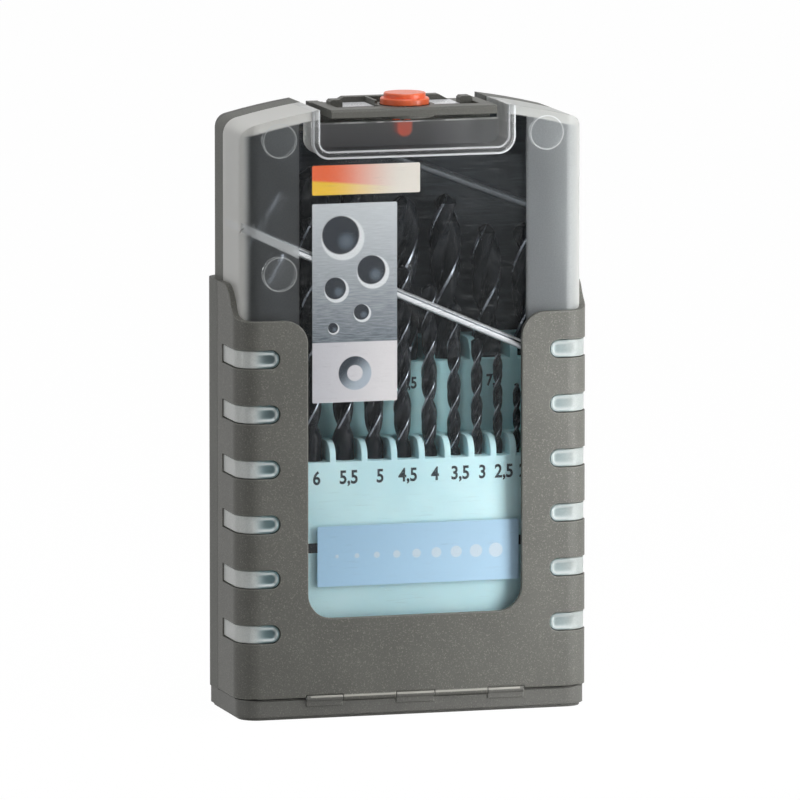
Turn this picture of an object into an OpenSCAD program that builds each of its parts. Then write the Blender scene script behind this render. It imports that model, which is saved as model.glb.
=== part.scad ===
// Drill bit case: a dark rear shell on a base tray, a translucent front door on a
// barrel hinge along the lower front edge, a push-button latch on top, and two
// stepped racks that hold nineteen twist drills, 1 to 10 mm by halves.
// X is to the right, -Y is the front, +Z is up. The origin is the middle of the foot.

/* [Case] */
// Width over the thick lower zone
case_w = 92; // [88:1:100]
// From the hinge barrel at the front to the back
case_d = 32.6; // [32:0.2:38]
// Height of the arched top at its middle, under the latch
arch_top = 155.7; // [155:0.1:160]
// Radius of the arched top
arch_r = 167; // [150:1:220]
// Radius where the arch turns into the sides
shoulder_r = 4.5; // [3:0.5:6]
// How far the lower zone stands proud of the upper one
step_out = 1.5; // [1:0.1:1.8]
// Depth of the joint between door and rear shell, from the middle
parting_y = 4.5; // [3:0.5:5]
// Height of the base tray
base_h = 5.2; // [5:0.1:6]
// Height of the lower zone at the sides
wing_z = 109.4; // [106:0.2:112]
// Width of the notch in the arched top that takes the latch
notch_w = 48.8; // [48:0.2:50]
// Floor of that notch
notch_z = 151.6; // [151.4:0.1:151.8]

/* [Door] */
// Wall of the translucent cover
cover_t = 1.6; // [1.4:0.1:1.8]
// Radius of the cover's front corners in plan
cover_r = 4.5; // [3:0.5:6]
// Width of the window in the armour sleeve
window_w = 56; // [48:1:58]
// Bottom of that window
window_z = 25.4; // [22:0.2:28]
// Radius of the window's bottom corners
window_r = 6.3; // [4:0.1:8]
// Top edge of the sleeve at the front
sleeve_z = 101.2; // [98:0.2:103]
// Radius where the sleeve's top edge turns into the window
lip_r = 6; // [4:0.5:7]
// Number of grip slots on each side
slots = 6; // [3:1:6]
// Height of the lowest slot's middle
slot_z = 22; // [20:0.5:24]
// Distance from one slot to the next
slot_pitch = 13.92; // [11:0.02:14]
// Height of a slot
slot_h = 4.8; // [3:0.1:6]
// Where a slot's round end lies, from the middle
slot_x = 35.2; // [33:0.1:38]
// Width of the finger recess under the latch
recess_w = 49; // [48:0.5:50]
// Floor of the finger recess
recess_z = 143.4; // [143:0.1:144.4]
// Depth of the finger recess, from the cover's face
recess_d = 8.2; // [8:0.2:9.4]

/* [Latch] */
// Half width of the latch bridge
bridge_x = 21.6; // [20:0.2:22]
// Top face of the latch bridge
bridge_z = 153.8; // [153.6:0.1:154.2]
// Radius of the release button
button_r = 6.2; // [5:0.1:6.4]
// Place of the button, from the middle of the depth
button_y = -6; // [-6.4:0.1:-5.8]
// Travel of the button, in mm
button_travel = 1.8; // [1.5:0.1:1.8]

/* [Drills] */
// Radial play of a drill in its hole
drill_play = 0.15; // [0.1:0.05:0.25]
// Space between neighbouring drills of the front row
front_gap = 2.76; // [2.4:0.02:2.9]
// Space between neighbouring drills of the rear row
rear_gap = 3.1; // [2.8:0.02:3.4]
// Where the 4.5 mm drill stands in the front row
front_x = -0.7; // [-1.5:0.1:0.5]
// Where the 8.5 mm drill stands in the rear row
rear_x = 2.6; // [1.5:0.1:3.5]
// Bottom of the front row's holes
front_floor = 33; // [30:0.5:34]
// Bottom of the rear row's holes
rear_floor = 12.5; // [12:0.5:13]
// Diameter of the two retaining rods
rod_d = 2.4; // [2:0.1:2.4]

/* [Hidden] */
$fn = 64;
// How far pieces of one solid overlap, and how far a cut runs past the surface
eps = 0.01;
over = 1;

// Case outline, front to back
back_y = case_d / 2;
upper_w = case_w - 2 * step_out;
upper_back = back_y - step_out;
shell_t = 1.8;
armour_r = cover_r + step_out;
back_r = 3;
shell_in_r = 1.7;
seam = 0.35;
door_z = base_h + seam;
arch_cz = arch_top - arch_r;

// Door: the sleeve's face stands a little behind the hinge barrel's
sleeve_y = -16;
cover_y = sleeve_y + step_out - 0.1;
cover_in_y = cover_y + cover_t;
door_back = parting_y - 0.12;
skin_gap = 0.05;
wing_y0 = -15;
wing_y1 = -1.5;
wing_r = (pow(wing_y1 - wing_y0, 2) + pow(wing_z - sleeve_z, 2)) / (4 * (wing_z - sleeve_z));
slot_back = 0;
recess_t = 1.6;
recess_r = 2.5;
recess_back = cover_y + recess_d;
recess_wall_z = 149.6;
// Rounded lip round the recess, in layers: [inner growth, outer growth, how far it stands out]
lip_layers = [[0, 2, 0.25], [0.2, 1.8, 0.45], [0.6, 1.4, 0.55]];
disc_r = 4.3;
disc_t = 0.3;
discs = [[-34.8, 146.4], [34.8, 146.4], [-34.8, 112.8]];

// Hinge along the lower front edge
hinge_y = -15.45;
hinge_z = base_h + 0.1;
knuckle_r = 0.85;
pin_r = 0.45;
pin_play = 0.05;
hinge_w = 57;
knuckle_gap = 0.15;
knuckle_play = 0.15;
knuckle_foot = [-0.3, 0.8];
knuckle_foot_h = 2;
knuckles = [-28.5, -19, -5, 5, 19, 28.5];

// Base tray
base_in = 0.5;
base_y0 = sleeve_y + base_in;
base_y1 = back_y - base_in;
base_floor = 2;
base_wall = 1.7;
base_front = 2.9;
base_in_r = 2.5;
base_chamfer = 0.8;
screw_x = 38;
screw_y = 9.6;
front_screw_y = -6.6;
screw_r = 1.1;
screw_play = 0.2;
screw_head_r = 2.2;
screw_head_h = 1;
screw_head_z = 0.3;
screw_z1 = 9.5;
screw_cross = [3.2, 0.6, 0.5];
boss_r = 2.7;
boss_z = 11;
boss_web = 6;
boss_play = 0.3;

// Latch
bridge_t = 2.1;
bridge_y0 = sleeve_y + 1;
bridge_chamfer = 0.6;
bridge_seat_drop = 0.2;
shelf_t = 5;
shelf_margin = 1;
deck_x = 18.6;
deck_y0 = -9.6;
deck_z = bridge_z - 0.7;
rail_x = 15.2;
rail_y0 = 6.2;
rail_y1 = 9;
rail_z = bridge_z + 0.8;
rail_ramp = 2.8;
rib_x0 = 6.3;
rib_x1 = 7;
rib_y0 = -3.2;
post_x0 = 15.4;
post_x1 = 18.6;
post_y1 = 0.6;
post_z = bridge_z + 1.2;
post_chamfer = 0.5;
pad_gap = 0.1;
pad_t = 0.6;
pad_sink = 0.5;
well_r = button_r + 0.25;
well_floor = bridge_z - 1.9;
well_bottom = well_floor - 1.1;
well_wall = 1;
peg_x = 13;
peg_y = 6.1;
peg_r = 1.4;
peg_len = 3.8;
peg_play = 0.05;
peg_gap = 0.2;
cap_z0 = bridge_z + 0.1;
cap_z1 = cap_z0 + 1.6;
cap_z2 = cap_z1 + 1.3;
cap_top_r = button_r - 0.9;
cap_edge = 0.25;
cap_in_z = cap_z0 + 0.8;
tongue_y = recess_back + recess_t + 0.7;
tongue_t = 1.6;
tongue_w = 4.4;
tongue_z = 145.4;
tongue_play = 0.25;
catch_window = 1.5;
catch_z0 = 147.6;
lug_w = 0.9;
lug_z0 = 148.2;
lug_z1 = 149.4;
// The window reaches high enough for the lug when the button is down
catch_z1 = lug_z1 + button_travel + 0.4;
tooth_y0 = tongue_y + tongue_t + 0.4;
tooth_y1 = tooth_y0 + 1;
tooth_z = 146.9;
spring_r = 1.2;
spring_wire = 0.3;
spring_room = 0.5;
spring_rings = 5;

// Racks
rack_x = 42.2;
rack_foot = base_floor;
front_rack_y0 = -11.6;
front_rack_y1 = -1.4;
rear_rack_y0 = -1.2;
rear_rack_y1 = 12.4;
front_comb = 64.4;
front_teeth = 69.5;
rear_comb = 87.7;
rear_teeth = 93;
comb_r = 4;
front_slot_play = 0.6;
rear_slot_play = 0.6;
front_y = -6.4;
rear_y = 5.5;
rack_wall = 1.6;
rear_cavity_in = 8;
rack_boss_z = 14;
bar_z0 = 41.5;
bar_z1 = 44;
bar_t = 1.4;
bar_in = 0.1;

// Film behind the window, and the rods
film_t = 0.2;
film_y0 = cover_in_y + 0.02;
film_x = 29;
film_z0 = 18;
film_z1 = 140.9;
front_rod_y = -11.2;
rear_rod_y = -1.0;
front_rod_slope = 0.44;
rear_rod_slope = 0.385;
front_rod_z = 105.2;
rear_rod_z = 139.7;
rod_end_x = upper_w / 2 - cover_t;
rear_rod_left = -30;
rod_boss_r = rod_d / 2 + 0.9;
rod_boss_w = 2.4;
rod_boss_in = 0.9;
rod_play = 0.02;

// Drills: diameters, total lengths and flute lengths of the common jobber series
front_sizes = [6.5, 6, 5.5, 5, 4.5, 4, 3.5, 3, 2.5, 2, 1.5, 1];
rear_sizes = [10, 9.5, 9, 8.5, 8, 7.5, 7];
series = [
    [1, 34, 12], [1.5, 40, 18], [2, 49, 24], [2.5, 57, 30], [3, 61, 33],
    [3.5, 70, 39], [4, 75, 43], [4.5, 80, 47], [5, 86, 52], [5.5, 93, 57],
    [6, 93, 57], [6.5, 101, 63], [7, 109, 69], [7.5, 109, 69], [8, 117, 75],
    [8.5, 117, 75], [9, 125, 81], [9.5, 125, 81], [10, 133, 87]
];
helix = 30;
point_angle = 118;
flute_steps = 9;
// Shares of the drill's radius: the lands, the flat the point ends in, and the cone's base
land = 0.98;
point_flat = 0.12;
point_base = 1.05;

function sum_to(v, k) = k < 0 ? 0 : v[k] + sum_to(v, k - 1);
// Place along the row of drill k, counted from the row's first drill
function run(sizes, gap, k) =
    sum_to(sizes, k) - sizes[0] / 2 - sizes[k] / 2 + gap * k;
function place(sizes, gap, k, anchor, x0) =
    x0 + run(sizes, gap, k) - run(sizes, gap, anchor);
function series_of(d) = [for (s = series) if (s[0] == d) s][0];
function index_of(sizes, d) = [for (k = [0:len(sizes) - 1]) if (sizes[k] == d) k][0];
function in_front(d) = d < 6.75;
function drill_x(d) = in_front(d)
    ? place(front_sizes, front_gap, index_of(front_sizes, d), 4, front_x)
    : place(rear_sizes, rear_gap, index_of(rear_sizes, d), 3, rear_x);
function drill_y(d) = in_front(d) ? front_y : rear_y;
function drill_floor(d) = in_front(d) ? front_floor : rear_floor;

// Rounded plan, with its own radius in front and behind
module plan(w, y0, y1, rf, rb) {
    translate([-w / 2, y0 + rf]) square([w, y1 - y0 - rf - rb]);
    translate([-w / 2 + rf, y0]) square([w - 2 * rf, rf + eps]);
    for (s = [-1, 1]) translate([s * (w / 2 - rf), y0 + rf]) circle(rf);
    if (rb > 0) {
        translate([-w / 2 + rb, y1 - rb - eps]) square([w - 2 * rb, rb + eps]);
        for (s = [-1, 1]) translate([s * (w / 2 - rb), y1 - rb]) circle(rb);
    }
}

// Front outline under the arch, drawn in X and Z, drawn in by inset
module arch_outline(w, z0, inset) {
    a = w / 2 - inset;
    big = arch_r - inset;
    r = shoulder_r - inset;
    cz = arch_cz + sqrt(pow(big - r, 2) - pow(a - r, 2));
    ux = (a - r) / (big - r);
    uz = (cz - arch_cz) / (big - r);
    difference() {
        intersection() {
            translate([0, arch_cz]) circle(big, $fn = 360);
            translate([-a, z0]) square([2 * a, arch_top]);
        }
        for (s = [-1, 1]) difference() {
            polygon([
                [s * (a - r), cz], [s * (a + over), cz], [s * (a + over), cz + r + over],
                [s * (a - r + ux * (r + over)), cz + uz * (r + over)]
            ]);
            translate([s * (a - r), cz]) circle(r);
        }
    }
}

// Extrude an X-Z drawing from y0 to y1
module along_y(y0, y1) {
    translate([0, y1, 0]) rotate([90, 0, 0]) linear_extrude(y1 - y0) children();
}

// Extrude a Y-Z drawing over the full width, or from x0 to x1
module along_x(x0, x1) {
    translate([x0, 0, 0]) rotate([90, 0, 90]) linear_extrude(x1 - x0) children();
}

module box(p, q) {
    translate(p) cube(q - p);
}

module barrel(x0, x1, r) {
    translate([x0, hinge_y, hinge_z]) rotate([0, 90, 0]) cylinder(r = r, h = x1 - x0, $fn = 40);
}

// ---- base and rear shell ----

module base_tray() {
    color("#595955") difference() {
        union() {
            translate([0, 0, base_chamfer]) linear_extrude(base_h - base_chamfer)
                plan(case_w - 2 * base_in, base_y0, base_y1, armour_r - base_in, back_r);
            linear_extrude(base_chamfer + eps)
                plan(case_w - 2 * base_in - 2 * base_chamfer, base_y0 + base_chamfer,
                     base_y1 - base_chamfer, armour_r - base_in - base_chamfer,
                     back_r - base_chamfer);
            for (k = [0, 2, 4]) base_knuckle(knuckles[k], knuckles[k + 1]);
        }
        translate([0, 0, base_floor]) linear_extrude(base_h)
            plan(case_w - 2 * base_in - 2 * base_wall, base_y0 + base_front,
                 base_y1 - base_wall, base_in_r, back_r - base_wall);
        for (k = [1, 3]) barrel(knuckles[k], knuckles[k + 1], knuckle_r + knuckle_play);
        barrel(-hinge_w, hinge_w, pin_r + eps);
        for (s = [-1, 1], y = [front_screw_y, screw_y]) translate([s * screw_x, y, 0]) screw_hole();
    }
}

// Knuckle with the web that carries it on the tray's front wall
module base_knuckle(x0, x1) {
    a = x0 + knuckle_gap / 2;
    b = x1 - knuckle_gap / 2;
    barrel(a, b, knuckle_r);
    box([a, hinge_y + knuckle_foot[0], base_h - knuckle_foot_h], [b, hinge_y + knuckle_foot[1], hinge_z]);
}

module screw_hole() {
    translate([0, 0, -over]) cylinder(r = screw_r + screw_play, h = base_h + 2 * over, $fn = 32);
    translate([0, 0, -over])
        cylinder(r = screw_head_r + screw_play, h = over + screw_head_z + screw_head_h, $fn = 32);
}

// Rear half of the case: a shell open to the front, thicker below the wings
module back_shell() {
    color("#5e5f59") difference() {
        union() {
            intersection() {
                translate([0, 0, base_h]) linear_extrude(arch_top)
                    plan(upper_w, -back_y, upper_back, cover_r, back_r);
                along_y(parting_y, back_y) arch_outline(upper_w, base_h, 0);
            }
            translate([0, 0, base_h]) linear_extrude(wing_z - base_h) intersection() {
                plan(case_w, -back_y, back_y, armour_r, back_r + step_out);
                translate([-case_w, parting_y]) square([2 * case_w, back_y]);
            }
        }
        difference() {
            intersection() {
                translate([0, 0, -over]) linear_extrude(arch_top)
                    plan(upper_w - 2 * shell_t, -back_y, upper_back - shell_t, cover_r, shell_in_r);
                along_y(-back_y, back_y) arch_outline(upper_w, base_h - over, shell_t);
            }
            for (s = [-1, 1]) translate([s * screw_x, screw_y, 0]) shell_boss(s);
            latch_shelf();
        }
        // Notch for the latch bridge
        box([-notch_w / 2, -back_y, notch_z], [notch_w / 2, back_y + over, arch_top + over]);
        for (s = [-1, 1]) {
            translate([s * peg_x, peg_y, notch_z - peg_len - peg_gap])
                cylinder(r = peg_r + peg_play, h = peg_len + peg_gap + over, $fn = 32);
            translate([s * screw_x, screw_y, 0]) cylinder(r = screw_r, h = boss_z - over, $fn = 32);
        }
    }
}

// Screw boss with a web out to the side wall
module shell_boss(s) {
    cylinder(r = boss_r, h = boss_z);
    box([min(0, s * boss_web), -boss_r, 0], [max(0, s * boss_web), boss_r, boss_z]);
}

// Thick floor under the notch, which the bridge's pegs go into
module latch_shelf() {
    box([-notch_w / 2 - shelf_margin, parting_y, notch_z - shelf_t],
        [notch_w / 2 + shelf_margin, back_y, arch_top]);
}

// ---- latch ----

// Plate with a shallow deck sunk in it, a collar round the button, and a rail behind
module latch_bridge() {
    color("#4c4d4a") difference() {
        union() {
            difference() {
                union() {
                    bridge_plate();
                    box([-bridge_x, parting_y - eps, notch_z],
                        [bridge_x, rail_y1, bridge_z - bridge_seat_drop]);
                }
                box([-deck_x, deck_y0, deck_z], [deck_x, rail_y1 + over, bridge_z + over]);
            }
            rail();
            for (s = [-1, 1]) {
                deck_rib(s);
                deck_post(s);
            }
            translate([0, button_y, well_bottom])
                cylinder(r = well_r + well_wall, h = bridge_z - well_bottom);
            for (s = [-1, 1]) translate([s * peg_x, peg_y, notch_z - peg_len])
                cylinder(r = peg_r, h = peg_len + eps, $fn = 32);
        }
        translate([0, button_y, well_floor]) cylinder(r = well_r, h = rail_z - well_floor + over);
        box([-tongue_w / 2 - tongue_play, tongue_y - tongue_play, well_bottom - over],
            [tongue_w / 2 + tongue_play, tongue_y + tongue_t + tongue_play, well_floor + over]);
        for (s = [-1, 1]) deck_panel(s, 0);
    }
}

// Plate over the finger recess, its front edge chamfered
module bridge_plate() {
    along_x(-bridge_x, bridge_x) polygon([
        [bridge_y0, bridge_z - bridge_t], [parting_y, bridge_z - bridge_t], [parting_y, bridge_z],
        [bridge_y0 + bridge_chamfer, bridge_z], [bridge_y0, bridge_z - bridge_chamfer]
    ]);
}

// Rail across the back of the deck, its ends ramped
module rail() {
    along_y(rail_y0, rail_y1) polygon([
        [-rail_x, deck_z - eps], [rail_x, deck_z - eps],
        [rail_x - rail_ramp, rail_z], [-rail_x + rail_ramp, rail_z]
    ]);
}

// Rib from the rail to the front, beside the button
module deck_rib(s) {
    box([min(s * rib_x0, s * rib_x1), rib_y0, deck_z - eps],
        [max(s * rib_x0, s * rib_x1), rail_y0 + eps, rail_z]);
}

// Low post on the outer side of the deck, its top edges chamfered
module deck_post(s) {
    along_y(rib_y0, post_y1) polygon([
        [s * post_x0, deck_z - eps], [s * post_x1, deck_z - eps],
        [s * post_x1, post_z - post_chamfer], [s * (post_x1 - post_chamfer), post_z],
        [s * (post_x0 + post_chamfer), post_z], [s * post_x0, post_z - post_chamfer]
    ]);
}

// Space of a light panel let into the deck, drawn in by gap
module deck_panel(s, gap) {
    box([min(s * (rib_x1 + gap), s * (post_x0 - gap)), rib_y0 + gap, deck_z - pad_sink],
        [max(s * (rib_x1 + gap), s * (post_x0 - gap)), rail_y0 - gap, deck_z - pad_sink + pad_t]);
}

// Light panel between the rib and the post
module rail_pad(s) {
    color("#dcdce0") deck_panel(s, pad_gap);
}

module left_rail_pad() {
    rail_pad(-1);
}

module right_rail_pad() {
    rail_pad(1);
}

// Red push button in one piece with the tongue that holds the door
module release_button() {
    color("#e76640") difference() {
        union() {
            translate([0, button_y, 0]) rotate_extrude() polygon([
                [0, cap_z0], [button_r, cap_z0], [button_r, cap_z1 - cap_edge],
                [button_r - cap_edge, cap_z1], [cap_top_r, cap_z1],
                [cap_top_r, cap_z2 - cap_edge], [cap_top_r - cap_edge, cap_z2], [0, cap_z2]
            ]);
            along_y(tongue_y, tongue_y + tongue_t) tongue_outline();
        }
        translate([0, button_y, cap_z0 - over])
            cylinder(r = spring_r + spring_room, h = cap_in_z - cap_z0 + over);
    }
}

module tongue_outline() {
    difference() {
        union() {
            translate([-tongue_w / 2, tongue_z + tongue_w / 2])
                square([tongue_w, cap_in_z - tongue_z - tongue_w / 2]);
            translate([0, tongue_z + tongue_w / 2]) circle(tongue_w / 2);
        }
        translate([-catch_window / 2, catch_z0]) square([catch_window, catch_z1 - catch_z0]);
    }
}

// Return spring under the button: flat closed coils
module button_spring() {
    low = well_floor + spring_wire;
    high = cap_in_z - spring_wire;
    color("silver") for (k = [0:spring_rings - 1])
        translate([0, button_y, low + k * (high - low) / (spring_rings - 1)])
            rotate_extrude($fn = 36) translate([spring_r, 0]) circle(spring_wire, $fn = 16);
}

// ---- racks ----

// A row of holes, and the slots above comb_z that open each hole to the front
module drill_sockets(sizes, gap, anchor, x0, y, floor_z, comb_z, slot_play, front) {
    for (k = [0:len(sizes) - 1]) translate([place(sizes, gap, k, anchor, x0), y, 0]) {
        slot = sizes[k] / 2 + slot_play;
        translate([0, 0, floor_z]) cylinder(r = sizes[k] / 2 + drill_play, h = arch_top, $fn = 40);
        translate([0, 0, comb_z]) cylinder(r = slot, h = arch_top - comb_z, $fn = 40);
        box([-slot, front - y - over, comb_z], [slot, 0, arch_top]);
    }
}

// Block with a rounded upper front edge
module rack_block(y0, y1, top) {
    along_x(-rack_x, rack_x) {
        translate([y0, rack_foot]) square([y1 - y0, top - comb_r - rack_foot]);
        translate([y0 + comb_r, top - comb_r - eps]) square([y1 - y0 - comb_r, comb_r + eps]);
        translate([y0 + comb_r, top - comb_r]) circle(comb_r);
    }
}

module front_rack() {
    color("#bbdbe7") difference() {
        rack_block(front_rack_y0, front_rack_y1, front_teeth);
        drill_sockets(front_sizes, front_gap, 4, front_x, front_y, front_floor, front_comb,
                      front_slot_play, front_rack_y0);
        difference() {
            box([-rack_x + rack_wall, front_rack_y0 + rack_wall, rack_foot - over],
                [rack_x - rack_wall, front_rack_y1 - rack_wall, front_floor - rack_wall]);
            for (s = [-1, 1]) translate([s * screw_x, front_screw_y, 0])
                cylinder(r = boss_r, h = rack_boss_z);
        }
        for (s = [-1, 1]) translate([s * screw_x, front_screw_y, 0])
            cylinder(r = screw_r, h = rack_boss_z - over, $fn = 32);
        box([-rack_x - over, front_rack_y0 - over, bar_z0], [rack_x + over, front_rack_y0 + bar_t, bar_z1]);
    }
}

module rear_rack() {
    color("#b2d5de") difference() {
        rack_block(rear_rack_y0, rear_rack_y1, rear_teeth);
        drill_sockets(rear_sizes, rear_gap, 3, rear_x, rear_y, rear_floor, rear_comb,
                      rear_slot_play, rear_rack_y0);
        box([-rack_x + rear_cavity_in, rear_rack_y0 + rack_wall, rack_foot - over],
            [rack_x - rear_cavity_in, rear_rack_y1 - rack_wall, rear_floor - rack_wall]);
        for (s = [-1, 1]) boss_corner(s);
    }
}

// Corner cut away for the shell's screw boss
module boss_corner(s) {
    x0 = screw_x - boss_r - boss_play;
    box([s > 0 ? x0 : -rack_x - over, screw_y - boss_r - boss_play, 0],
        [s > 0 ? rack_x + over : -x0, rear_rack_y1 + over, boss_z + boss_play]);
}

// Dark bar that clips across the front of the racks
module rack_bar() {
    color("#2c3034") box([-rack_x, front_rack_y0 + bar_in, bar_z0], [rack_x, front_rack_y0 + bar_t, bar_z1]);
}

// ---- hinge pin and screws ----

module hinge_pin() {
    color("silver") barrel(-hinge_w / 2, hinge_w / 2, pin_r);
}

module base_screws() {
    color("silver") for (s = [-1, 1], y = [front_screw_y, screw_y])
        translate([s * screw_x, y, screw_head_z]) screw();
}

// Cross-head screw, head down
module screw() {
    difference() {
        union() {
            cylinder(r = screw_head_r, h = screw_head_h, $fn = 32);
            cylinder(r = screw_r, h = screw_z1 - screw_head_z, $fn = 32);
        }
        for (turn = [0, 90]) rotate(turn) translate([-screw_cross[0] / 2, -screw_cross[1] / 2, -over])
            cube(screw_cross + [0, 0, over]);
    }
}

// ---- door ----

module front_cover() {
    color("#aab4ba", 0.5) difference() {
        union() {
            difference() {
                cover_block(0);
                cover_block(cover_t);
            }
            recess_lip();
            intersection() {
                recess_box(recess_t);
                cover_block(0);
            }
            for (p = discs) cover_disc(p);
            catch_lug();
            rod_bosses();
        }
        recess_box(0);
        // Behind the recess the top stays open for the latch
        box([-recess_w / 2, cover_y - over, recess_wall_z],
            [recess_w / 2, parting_y + over, arch_top + over]);
        front_rod_line(-rod_end_x - over, rod_d / 2 + rod_play);
        rear_rod_line(rear_rod_left, rod_d / 2 + rod_play);
    }
}

module cover_block(inset) {
    intersection() {
        translate([0, 0, door_z - inset]) linear_extrude(arch_top)
            plan(upper_w - 2 * inset, cover_y + inset, door_back + inset, cover_r - inset, 0);
        along_y(-back_y, back_y) arch_outline(upper_w, door_z - inset, inset);
    }
}

// Finger recess, open at the top; grown by t for its walls
module recess_box(t) {
    along_y(t > 0 ? cover_y : cover_y - over, recess_back + t) recess_outline(t);
}

module recess_outline(t) {
    r = recess_r + t;
    half = recess_w / 2 + t;
    high = arch_top - recess_z;
    translate([-half, recess_z - t + r]) square([2 * half, high]);
    translate([-half + r, recess_z - t]) square([2 * (half - r), high]);
    for (s = [-1, 1]) translate([s * (half - r), recess_z - t + r]) circle(r);
}

// Raised lip round the recess's mouth, under the arch
module recess_lip() {
    for (layer = lip_layers) along_y(cover_y - layer[2], cover_y + eps) difference() {
        intersection() {
            recess_outline(layer[1]);
            arch_outline(upper_w, door_z, 0);
        }
        recess_outline(layer[0]);
        translate([-recess_w / 2, recess_z]) square([recess_w, arch_top]);
    }
}

module cover_disc(p) {
    translate([p[0], cover_in_y + disc_t, p[1]]) rotate([90, 0, 0]) cylinder(r = disc_r, h = disc_t + eps);
}

// Hooked lug on the recess's rear wall, which the tongue's cross bar holds
module catch_lug() {
    box([-lug_w / 2, recess_back + recess_t - eps, lug_z0], [lug_w / 2, tooth_y1, lug_z1]);
    box([-lug_w / 2, tooth_y0, tooth_z], [lug_w / 2, tooth_y1, lug_z1]);
}

// Straight rod across the door, lower to the right
module rod(y, z0, slope, x0, x1, r) {
    tilt = atan(slope);
    translate([x0, y, z0 - slope * x0]) rotate([0, 90 + tilt, 0])
        cylinder(r = r, h = (x1 - x0) / cos(tilt), $fn = 32);
}

module front_rod_line(x0, r) {
    rod(front_rod_y, front_rod_z, front_rod_slope, x0, -x0, r);
}

module rear_rod_line(x0, r) {
    rod(rear_rod_y, rear_rod_z, rear_rod_slope, x0, rod_end_x + r - rod_d / 2, r);
}

// Sockets for the rods' ends inside the cover
module rod_bosses() {
    x = rod_end_x - rod_boss_in;
    for (s = [-1, 1]) rod_boss(s * x, front_rod_y, front_rod_z - front_rod_slope * s * x);
    rod_boss(x, rear_rod_y, rear_rod_z - rear_rod_slope * x);
    left = rear_rod_left + rod_boss_w / 2;
    intersection() {
        rod_boss(left, rear_rod_y, rear_rod_z - rear_rod_slope * left);
        cover_block(0);
    }
}

module rod_boss(x, y, z) {
    translate([x - rod_boss_w / 2, y, z])
        rotate([0, 90, 0]) cylinder(r = rod_boss_r, h = rod_boss_w, $fn = 32);
}

module front_rod() {
    color("#c8ccd0") front_rod_line(-rod_end_x, rod_d / 2);
}

module rear_rod() {
    color("#c8ccd0") rear_rod_line(rear_rod_left + rod_boss_in, rod_d / 2);
}

// Dark armour round the lower part of the cover
module front_sleeve() {
    color("#5e5d58") difference() {
        union() {
            difference() {
                translate([0, 0, door_z]) linear_extrude(wing_z - door_z)
                    plan(case_w, sleeve_y, door_back, armour_r, 0);
                translate([0, 0, door_z - over]) linear_extrude(arch_top)
                    plan(upper_w + 2 * skin_gap, cover_y - skin_gap, back_y, cover_r + skin_gap, 0);
            }
            for (k = [1, 3])
                barrel(knuckles[k] + knuckle_gap / 2, knuckles[k + 1] - knuckle_gap / 2, knuckle_r);
        }
        along_x(-case_w, case_w) above_wing();
        along_y(-back_y, cover_y + over) window_outline();
        for (k = [0:slots - 1], s = [-1, 1]) grip_slot(s, slot_z + k * slot_pitch);
        for (k = [0, 2, 4])
            barrel(knuckles[k] - knuckle_gap, knuckles[k + 1] + knuckle_gap, knuckle_r + knuckle_play);
        barrel(-hinge_w, hinge_w, pin_r + pin_play);
    }
}

// Everything above the sleeve's top edge: low in front, rising to the wings in an S
module above_wing() {
    mid_y = (wing_y0 + wing_y1) / 2;
    mid_z = (sleeve_z + wing_z) / 2;
    high = arch_top - sleeve_z;
    translate([-back_y - over, sleeve_z]) square([wing_y0 + back_y + over + eps, high]);
    intersection() {
        translate([wing_y0, sleeve_z + wing_r]) circle(wing_r, $fn = 96);
        translate([wing_y0, sleeve_z]) square([mid_y - wing_y0, mid_z - sleeve_z + eps]);
    }
    translate([wing_y0, mid_z]) square([mid_y - wing_y0 + eps, high]);
    difference() {
        translate([mid_y, mid_z]) square([wing_y1 - mid_y, high]);
        translate([wing_y1, wing_z - wing_r]) circle(wing_r, $fn = 96);
    }
}

// U-shaped window: round bottom corners, and lips that roll into the top edge
module window_outline() {
    half = window_w / 2;
    translate([-half, window_z + window_r]) square([window_w, arch_top]);
    translate([-half + window_r, window_z]) square([window_w - 2 * window_r, arch_top]);
    for (s = [-1, 1]) {
        translate([s * (half - window_r), window_z + window_r]) circle(window_r);
        difference() {
            translate([s * half - (s < 0 ? lip_r : 0), sleeve_z - lip_r]) square([lip_r, lip_r + over]);
            translate([s * (half + lip_r), sleeve_z - lip_r]) circle(lip_r);
        }
    }
}

module grip_slot(s, z) {
    along_y(-back_y, slot_back) {
        translate([s * (slot_x + slot_h / 2), z]) circle(slot_h / 2);
        translate([s > 0 ? slot_x + slot_h / 2 : -case_w, z - slot_h / 2])
            square([case_w - slot_x - slot_h / 2, slot_h]);
    }
}

// Clear film behind the window that carries the print
module insert_film() {
    color("#e8ecee", 0.4) box([-film_x, film_y0, film_z0], [film_x, film_y0 + film_t, film_z1]);
}

// ---- twist drills ----

// Cross-section of the fluted part: two lands joined by a web, as [share of radius, angle]
half_section = [[land, -34], [land, 0], [land, 34], [0.56, 62], [0.42, 98], [0.66, 130]];
module flute_section(d) {
    polygon([for (h = [0, 180], p = half_section) d / 2 * p[0] * [cos(p[1] + h), sin(p[1] + h)]]);
}

module drill(d) {
    info = series_of(d);
    total = info[1];
    flute = info[2];
    shank = total - flute;
    lead = PI * d / tan(helix);
    tip = d / 2 / tan(point_angle / 2);
    translate([drill_x(d), drill_y(d), drill_floor(d)]) {
        color("#3a3f44") cylinder(r = d / 2, h = shank, $fn = 40);
        color("#2e3236") translate([0, 0, shank]) intersection() {
            linear_extrude(flute, twist = -360 * flute / lead, slices = ceil(flute_steps * flute / lead),
                           segments = 2 * len(half_section)) flute_section(d);
            union() {
                cylinder(r = d, h = flute - (1 - point_flat) * tip);
                translate([0, 0, flute - (point_base - point_flat) * tip]) cylinder(
                    r1 = point_base * d / 2, r2 = point_flat * d / 2,
                    h = (point_base - point_flat) * tip, $fn = 40
                );
            }
        }
    }
}

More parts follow.
